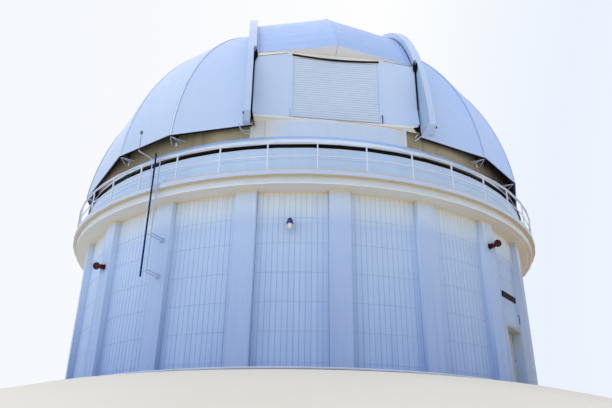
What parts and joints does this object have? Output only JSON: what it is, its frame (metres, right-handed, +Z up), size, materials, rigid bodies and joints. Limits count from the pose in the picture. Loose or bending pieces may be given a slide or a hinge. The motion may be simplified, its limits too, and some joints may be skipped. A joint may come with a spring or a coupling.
{
  "type": "observatory dome building",
  "caption": "Round steel observatory with pilastered wall, railed balcony and a rotating gored dome with two sliding slit shutters.",
  "frame": {"origin": "on the building's axis at the foot of its foundation", "axes": "+Z up along the dome's axis of rotation, -Y out through the observing slit"},
  "size_m": [30.8, 30.8, 26.6295],
  "materials": {
    "board": "brown stain",
    "coaming": "grey paint",
    "cornice": "cream-white paint",
    "dark_steel": "dark painted steel",
    "deck": "white paint",
    "dome_shell": "white paint",
    "door_frame": "cream paint",
    "door_leaf": "pale grey paint",
    "drum": "weathered cream paint",
    "entrance_lamp": "black paint",
    "fin": "white paint",
    "flashing": "bright white paint",
    "floor": "concrete",
    "front_wall": "white paint",
    "horn": "dark red paint",
    "lamp_cap": "blue paint",
    "lamp_globe": "cream enamel",
    "mast": "navy paint",
    "parapet": "white paint",
    "plinth": "red-brown concrete",
    "railing": "white paint",
    "roller": "grey painted slats",
    "sensor_arm": "white paint",
    "shutter": "white paint",
    "sill": "cream paint",
    "skirt": "pale blue-white paint",
    "track_steel": "dark painted steel",
    "upper_wall": "white paint",
    "wall_panel": "white painted ribbed steel sheet"
  },
  "bodies": {
    "building": {"balcony_deck": "deck", "base_flashing": "flashing", "cornice": "cornice", "dome_track": "track_steel", "entrance_frame": "door_frame", "entrance_lamp": "entrance_lamp", "foundation_plinth": "plinth", "ground_floor": "floor", "lamp_globe": "lamp_globe", "left_horn": "horn", "mast": "mast", "name_board": "board", "railing_1": "railing", "railing_2": "railing", "railing_3": "railing", "railing_4": "railing", "railing_5": "railing", "right_horn": "horn", "sensor_arm": "sensor_arm", "upper_wall": "upper_wall", "wall_lamp": "lamp_cap", "wall_left_of_door": "wall_panel", "wall_over_door": "wall_panel", "wall_right_of_door": "wall_panel", "wall_segment_01": "wall_panel", "wall_segment_03": "wall_panel", "wall_segment_04": "wall_panel", "wall_segment_05": "wall_panel", "wall_segment_06": "wall_panel", "wall_segment_07": "wall_panel", "wall_segment_08": "wall_panel", "wall_segment_09": "wall_panel", "wall_segment_10": "wall_panel"},
    "dome": {"dome_ring": "dark_steel", "drip_skirt": "skirt", "drum_left": "drum", "drum_right": "drum", "front_parapet": "parapet", "front_rail": "track_steel", "front_sill": "sill", "front_wall_left": "front_wall", "front_wall_right": "front_wall", "rear_rail": "track_steel", "roll_up_door": "roller", "shell_carrier": "drum", "shell_left_front": "dome_shell", "shell_left_rear": "dome_shell", "shell_left_side": "dome_shell", "shell_rear_centre": "dome_shell", "shell_right_front": "dome_shell", "shell_right_rear": "dome_shell", "shell_right_side": "dome_shell", "slit_coaming": "coaming"},
    "left_shutter": {"left_fin": "fin", "left_shutter": "shutter"},
    "right_shutter": {"right_fin": "fin", "right_shutter": "shutter"},
    "left_leaf": {"left_door_leaf": "door_leaf"},
    "right_leaf": {"right_door_leaf": "door_leaf"}
  },
  "joints": [
    {"name": "dome_rotation", "type": "hinge", "parent": "building", "child": "dome", "pos_m": [0, 0, 10.8], "axis": [0, 0, 1], "continuous": true},
    {"name": "left_shutter_slide", "type": "slide", "parent": "dome", "child": "left_shutter", "axis": [-1, 0, 0], "range_m": [0, 2.45]},
    {"name": "right_shutter_slide", "type": "slide", "parent": "dome", "child": "right_shutter", "axis": [1, 0, 0], "range_m": [0, 2.45]},
    {"name": "left_door_swing", "type": "hinge", "parent": "building", "child": "left_leaf", "pos_m": [9.1596, -10.0617, 1.85], "axis": [0, 0, 1], "range_deg": [0, 95]},
    {"name": "right_door_swing", "type": "hinge", "parent": "building", "child": "right_leaf", "pos_m": [10.6909, -8.4168, 1.85], "axis": [0, 0, -1], "range_deg": [0, 95]}
  ]
}
